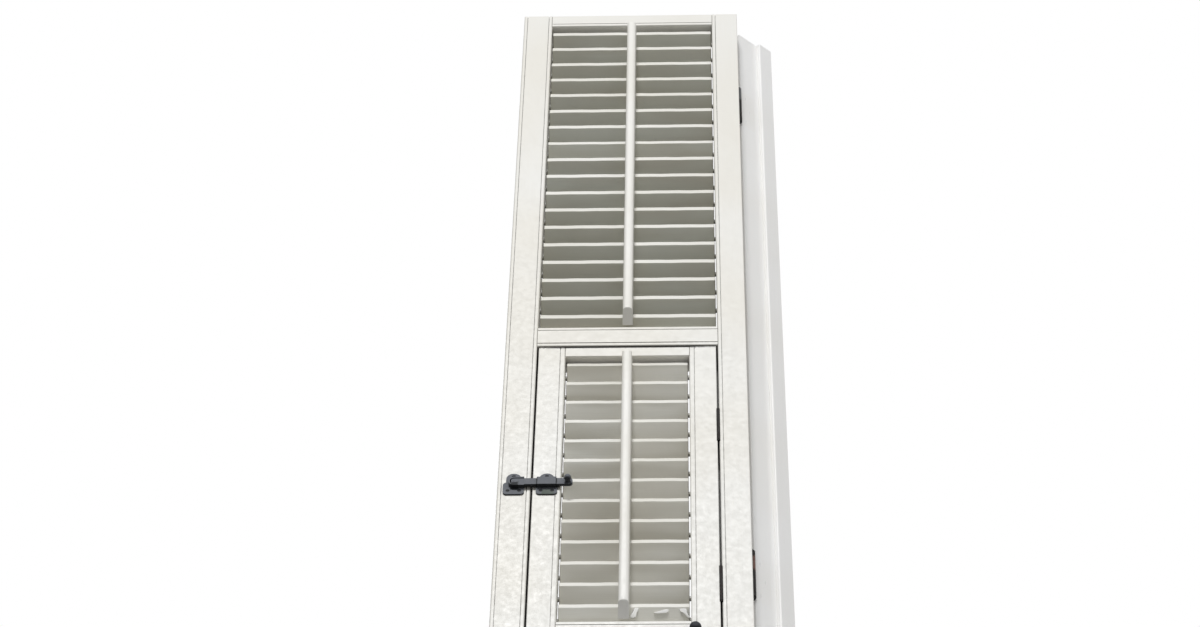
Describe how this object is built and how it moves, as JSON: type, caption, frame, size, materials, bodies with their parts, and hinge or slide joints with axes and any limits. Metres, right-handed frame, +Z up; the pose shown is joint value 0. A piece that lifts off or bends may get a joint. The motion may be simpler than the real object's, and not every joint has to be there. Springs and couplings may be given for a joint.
{
  "type": "louvred shutter leaf with hinge post",
  "caption": "Tall painted shutter leaf with tilting slats, a small louvred panel hinged inside it, tilt rods, a sliding latch and its hinge post.",
  "frame": {"origin": "centre of the foot of the hinge post, where it stands on the sill", "axes": "+Z up along the post; the leaf's room face looks to -Y and the leaf runs from the post to -X"},
  "size_m": [0.4827, 0.1632, 1.7732],
  "materials": {
    "post_paint": "white gloss paint on softwood",
    "frame_paint": "off-white satin paint on wood, brushed, worn at the arrises",
    "panel_paint": "off-white satin paint on wood, brushed, stained below the latch",
    "slat_paint": "off-white satin paint on wood, thick at the edges, dust in the corners",
    "rod_paint": "off-white satin paint on wood",
    "latch_iron": "blue-black painted iron",
    "hinge_iron": "black iron, rusted in one place and partly painted over",
    "screw_iron": "dark iron"
  },
  "bodies": {
    "post": {"hinge_post": "post_paint", "post_hinge_flaps": "hinge_iron", "post_hinge_screws": "screw_iron", "leaf_hinge_pins": "hinge_iron"},
    "leaf": {"free_stile": "frame_paint", "hinge_stile": "frame_paint", "top_rail": "frame_paint", "mid_rail": "frame_paint", "bottom_rail": "frame_paint", "leaf_hinge_flaps": "hinge_iron", "leaf_hinge_screws": "screw_iron", "panel_hinge_frame_flaps": "hinge_iron", "panel_hinge_pins": "hinge_iron", "latch_keeper": "latch_iron", "keeper_screws": "screw_iron", "stay_eye": "latch_iron"},
    "panel": {"panel_free_stile": "panel_paint", "panel_hinge_stile": "panel_paint", "panel_top_rail": "panel_paint", "panel_bottom_rail": "panel_paint", "panel_hinge_panel_flaps": "hinge_iron", "latch_guide": "latch_iron", "guide_screws": "screw_iron", "panel_pull_knob": "latch_iron"},
    "latch_bolt": {"latch_bar": "latch_iron", "latch_knob": "latch_iron"},
    "upper_slat_09": {"upper_slat_09": "slat_paint"},
    "upper_slat_01": {"upper_slat_01": "slat_paint"},
    "upper_slat_02": {"upper_slat_02": "slat_paint"},
    "upper_slat_03": {"upper_slat_03": "slat_paint"},
    "upper_slat_04": {"upper_slat_04": "slat_paint"},
    "upper_slat_05": {"upper_slat_05": "slat_paint"},
    "upper_slat_06": {"upper_slat_06": "slat_paint"},
    "upper_slat_07": {"upper_slat_07": "slat_paint"},
    "upper_slat_08": {"upper_slat_08": "slat_paint"},
    "upper_slat_10": {"upper_slat_10": "slat_paint"},
    "upper_slat_11": {"upper_slat_11": "slat_paint"},
    "upper_slat_12": {"upper_slat_12": "slat_paint"},
    "upper_slat_13": {"upper_slat_13": "slat_paint"},
    "upper_slat_14": {"upper_slat_14": "slat_paint"},
    "upper_slat_15": {"upper_slat_15": "slat_paint"},
    "upper_slat_16": {"upper_slat_16": "slat_paint"},
    "upper_slat_17": {"upper_slat_17": "slat_paint"},
    "upper_slat_18": {"upper_slat_18": "slat_paint"},
    "upper_tilt_rod": {"upper_tilt_rod": "rod_paint"},
    "lower_slat_07": {"lower_slat_07": "slat_paint"},
    "lower_slat_01": {"lower_slat_01": "slat_paint"},
    "lower_slat_02": {"lower_slat_02": "slat_paint"},
    "lower_slat_03": {"lower_slat_03": "slat_paint"},
    "lower_slat_04": {"lower_slat_04": "slat_paint"},
    "lower_slat_05": {"lower_slat_05": "slat_paint"},
    "lower_slat_06": {"lower_slat_06": "slat_paint"},
    "lower_slat_08": {"lower_slat_08": "slat_paint"},
    "lower_slat_09": {"lower_slat_09": "slat_paint"},
    "lower_slat_10": {"lower_slat_10": "slat_paint"},
    "lower_slat_11": {"lower_slat_11": "slat_paint"},
    "lower_slat_12": {"lower_slat_12": "slat_paint"},
    "lower_slat_13": {"lower_slat_13": "slat_paint"},
    "lower_tilt_rod": {"lower_tilt_rod": "rod_paint"}
  },
  "joints": [
    {"name": "leaf_swing", "type": "hinge", "parent": "post", "child": "leaf", "pos_m": [-0.01751, -0.04602, 0.8866], "axis": [0, 0, 1], "range_deg": [-50, 130]},
    {"name": "panel_swing", "type": "hinge", "parent": "leaf", "child": "panel", "pos_m": [-0.06956, -0.09602, 0.386], "axis": [0, 0, 1], "range_deg": [0, 100]},
    {"name": "bolt_slide", "type": "slide", "parent": "panel", "child": "latch_bolt", "axis": [1, 0, 0], "range_m": [0, 0.034]},
    {"name": "upper_slat_09_tilt", "type": "hinge", "parent": "leaf", "child": "upper_slat_09", "pos_m": [-0.22351, -0.07002, 1.2982], "axis": [1, 0, 0], "range_deg": [-31, 56]},
    {"name": "upper_slat_01_tilt", "type": "hinge", "parent": "leaf", "child": "upper_slat_01", "pos_m": [-0.22351, -0.07002, 1.6982], "axis": [1, 0, 0], "range_deg": [-31, 56]},
    {"name": "upper_slat_02_tilt", "type": "hinge", "parent": "leaf", "child": "upper_slat_02", "pos_m": [-0.22351, -0.07002, 1.6482], "axis": [1, 0, 0], "range_deg": [-31, 56]},
    {"name": "upper_slat_03_tilt", "type": "hinge", "parent": "leaf", "child": "upper_slat_03", "pos_m": [-0.22351, -0.07002, 1.5982], "axis": [1, 0, 0], "range_deg": [-31, 56]},
    {"name": "upper_slat_04_tilt", "type": "hinge", "parent": "leaf", "child": "upper_slat_04", "pos_m": [-0.22351, -0.07002, 1.5482], "axis": [1, 0, 0], "range_deg": [-31, 56]},
    {"name": "upper_slat_05_tilt", "type": "hinge", "parent": "leaf", "child": "upper_slat_05", "pos_m": [-0.22351, -0.07002, 1.4982], "axis": [1, 0, 0], "range_deg": [-31, 56]},
    {"name": "upper_slat_06_tilt", "type": "hinge", "parent": "leaf", "child": "upper_slat_06", "pos_m": [-0.22351, -0.07002, 1.4482], "axis": [1, 0, 0], "range_deg": [-31, 56]},
    {"name": "upper_slat_07_tilt", "type": "hinge", "parent": "leaf", "child": "upper_slat_07", "pos_m": [-0.22351, -0.07002, 1.3982], "axis": [1, 0, 0], "range_deg": [-31, 56]},
    {"name": "upper_slat_08_tilt", "type": "hinge", "parent": "leaf", "child": "upper_slat_08", "pos_m": [-0.22351, -0.07002, 1.3482], "axis": [1, 0, 0], "range_deg": [-31, 56]},
    {"name": "upper_slat_10_tilt", "type": "hinge", "parent": "leaf", "child": "upper_slat_10", "pos_m": [-0.22351, -0.07002, 1.2482], "axis": [1, 0, 0], "range_deg": [-31, 56]},
    {"name": "upper_slat_11_tilt", "type": "hinge", "parent": "leaf", "child": "upper_slat_11", "pos_m": [-0.22351, -0.07002, 1.1982], "axis": [1, 0, 0], "range_deg": [-31, 56]},
    {"name": "upper_slat_12_tilt", "type": "hinge", "parent": "leaf", "child": "upper_slat_12", "pos_m": [-0.22351, -0.07002, 1.1482], "axis": [1, 0, 0], "range_deg": [-31, 56]},
    {"name": "upper_slat_13_tilt", "type": "hinge", "parent": "leaf", "child": "upper_slat_13", "pos_m": [-0.22351, -0.07002, 1.0982], "axis": [1, 0, 0], "range_deg": [-31, 56]},
    {"name": "upper_slat_14_tilt", "type": "hinge", "parent": "leaf", "child": "upper_slat_14", "pos_m": [-0.22351, -0.07002, 1.0482], "axis": [1, 0, 0], "range_deg": [-31, 56]},
    {"name": "upper_slat_15_tilt", "type": "hinge", "parent": "leaf", "child": "upper_slat_15", "pos_m": [-0.22351, -0.07002, 0.9982], "axis": [1, 0, 0], "range_deg": [-31, 56]},
    {"name": "upper_slat_16_tilt", "type": "hinge", "parent": "leaf", "child": "upper_slat_16", "pos_m": [-0.22351, -0.07002, 0.9482], "axis": [1, 0, 0], "range_deg": [-31, 56]},
    {"name": "upper_slat_17_tilt", "type": "hinge", "parent": "leaf", "child": "upper_slat_17", "pos_m": [-0.22351, -0.07002, 0.8982], "axis": [1, 0, 0], "range_deg": [-31, 56]},
    {"name": "upper_slat_18_tilt", "type": "hinge", "parent": "leaf", "child": "upper_slat_18", "pos_m": [-0.22351, -0.07002, 0.8482], "axis": [1, 0, 0], "range_deg": [-31, 56]},
    {"name": "upper_tilt_rod_turn", "type": "hinge", "parent": "upper_slat_09", "child": "upper_tilt_rod", "pos_m": [-0.22351, -0.09493, 1.31985], "axis": [1, 0, 0], "range_deg": [-56, 31]},
    {"name": "lower_slat_07_tilt", "type": "hinge", "parent": "panel", "child": "lower_slat_07", "pos_m": [-0.22351, -0.07002, 0.4319], "axis": [1, 0, 0], "range_deg": [-22, 65]},
    {"name": "lower_slat_01_tilt", "type": "hinge", "parent": "panel", "child": "lower_slat_01", "pos_m": [-0.22351, -0.07002, 0.7211], "axis": [1, 0, 0], "range_deg": [-22, 65]},
    {"name": "lower_slat_02_tilt", "type": "hinge", "parent": "panel", "child": "lower_slat_02", "pos_m": [-0.22351, -0.07002, 0.6729], "axis": [1, 0, 0], "range_deg": [-22, 65]},
    {"name": "lower_slat_03_tilt", "type": "hinge", "parent": "panel", "child": "lower_slat_03", "pos_m": [-0.22351, -0.07002, 0.6247], "axis": [1, 0, 0], "range_deg": [-22, 65]},
    {"name": "lower_slat_04_tilt", "type": "hinge", "parent": "panel", "child": "lower_slat_04", "pos_m": [-0.22351, -0.07002, 0.5765], "axis": [1, 0, 0], "range_deg": [-22, 65]},
    {"name": "lower_slat_05_tilt", "type": "hinge", "parent": "panel", "child": "lower_slat_05", "pos_m": [-0.22351, -0.07002, 0.5283], "axis": [1, 0, 0], "range_deg": [-22, 65]},
    {"name": "lower_slat_06_tilt", "type": "hinge", "parent": "panel", "child": "lower_slat_06", "pos_m": [-0.22351, -0.07002, 0.4801], "axis": [1, 0, 0], "range_deg": [-22, 65]},
    {"name": "lower_slat_08_tilt", "type": "hinge", "parent": "panel", "child": "lower_slat_08", "pos_m": [-0.22351, -0.07002, 0.3837], "axis": [1, 0, 0], "range_deg": [-22, 65]},
    {"name": "lower_slat_09_tilt", "type": "hinge", "parent": "panel", "child": "lower_slat_09", "pos_m": [-0.22351, -0.07002, 0.3355], "axis": [1, 0, 0], "range_deg": [-22, 65]},
    {"name": "lower_slat_10_tilt", "type": "hinge", "parent": "panel", "child": "lower_slat_10", "pos_m": [-0.22351, -0.07002, 0.2873], "axis": [1, 0, 0], "range_deg": [-22, 65]},
    {"name": "lower_slat_11_tilt", "type": "hinge", "parent": "panel", "child": "lower_slat_11", "pos_m": [-0.22351, -0.07002, 0.2391], "axis": [1, 0, 0], "range_deg": [-22, 65]},
    {"name": "lower_slat_12_tilt", "type": "hinge", "parent": "panel", "child": "lower_slat_12", "pos_m": [-0.22351, -0.07002, 0.1909], "axis": [1, 0, 0], "range_deg": [-22, 65]},
    {"name": "lower_slat_13_tilt", "type": "hinge", "parent": "panel", "child": "lower_slat_13", "pos_m": [-0.22351, -0.07002, 0.1427], "axis": [1, 0, 0], "range_deg": [-22, 65]},
    {"name": "lower_tilt_rod_turn", "type": "hinge", "parent": "lower_slat_07", "child": "lower_tilt_rod", "pos_m": [-0.22351, -0.09124, 0.45718], "axis": [1, 0, 0], "range_deg": [-65, 22]}
  ],
  "couplings": [
    {"joint": "upper_slat_01_tilt", "follows": "upper_slat_09_tilt", "ratio": 1},
    {"joint": "upper_slat_02_tilt", "follows": "upper_slat_09_tilt", "ratio": 1},
    {"joint": "upper_slat_03_tilt", "follows": "upper_slat_09_tilt", "ratio": 1},
    {"joint": "upper_slat_04_tilt", "follows": "upper_slat_09_tilt", "ratio": 1},
    {"joint": "upper_slat_05_tilt", "follows": "upper_slat_09_tilt", "ratio": 1},
    {"joint": "upper_slat_06_tilt", "follows": "upper_slat_09_tilt", "ratio": 1},
    {"joint": "upper_slat_07_tilt", "follows": "upper_slat_09_tilt", "ratio": 1},
    {"joint": "upper_slat_08_tilt", "follows": "upper_slat_09_tilt", "ratio": 1},
    {"joint": "upper_slat_10_tilt", "follows": "upper_slat_09_tilt", "ratio": 1},
    {"joint": "upper_slat_11_tilt", "follows": "upper_slat_09_tilt", "ratio": 1},
    {"joint": "upper_slat_12_tilt", "follows": "upper_slat_09_tilt", "ratio": 1},
    {"joint": "upper_slat_13_tilt", "follows": "upper_slat_09_tilt", "ratio": 1},
    {"joint": "upper_slat_14_tilt", "follows": "upper_slat_09_tilt", "ratio": 1},
    {"joint": "upper_slat_15_tilt", "follows": "upper_slat_09_tilt", "ratio": 1},
    {"joint": "upper_slat_16_tilt", "follows": "upper_slat_09_tilt", "ratio": 1},
    {"joint": "upper_slat_17_tilt", "follows": "upper_slat_09_tilt", "ratio": 1},
    {"joint": "upper_slat_18_tilt", "follows": "upper_slat_09_tilt", "ratio": 1},
    {"joint": "upper_tilt_rod_turn", "follows": "upper_slat_09_tilt", "ratio": -1},
    {"joint": "lower_slat_01_tilt", "follows": "lower_slat_07_tilt", "ratio": 1},
    {"joint": "lower_slat_02_tilt", "follows": "lower_slat_07_tilt", "ratio": 1},
    {"joint": "lower_slat_03_tilt", "follows": "lower_slat_07_tilt", "ratio": 1},
    {"joint": "lower_slat_04_tilt", "follows": "lower_slat_07_tilt", "ratio": 1},
    {"joint": "lower_slat_05_tilt", "follows": "lower_slat_07_tilt", "ratio": 1},
    {"joint": "lower_slat_06_tilt", "follows": "lower_slat_07_tilt", "ratio": 1},
    {"joint": "lower_slat_08_tilt", "follows": "lower_slat_07_tilt", "ratio": 1},
    {"joint": "lower_slat_09_tilt", "follows": "lower_slat_07_tilt", "ratio": 1},
    {"joint": "lower_slat_10_tilt", "follows": "lower_slat_07_tilt", "ratio": 1},
    {"joint": "lower_slat_11_tilt", "follows": "lower_slat_07_tilt", "ratio": 1},
    {"joint": "lower_slat_12_tilt", "follows": "lower_slat_07_tilt", "ratio": 1},
    {"joint": "lower_slat_13_tilt", "follows": "lower_slat_07_tilt", "ratio": 1},
    {"joint": "lower_tilt_rod_turn", "follows": "lower_slat_07_tilt", "ratio": -1}
  ]
}
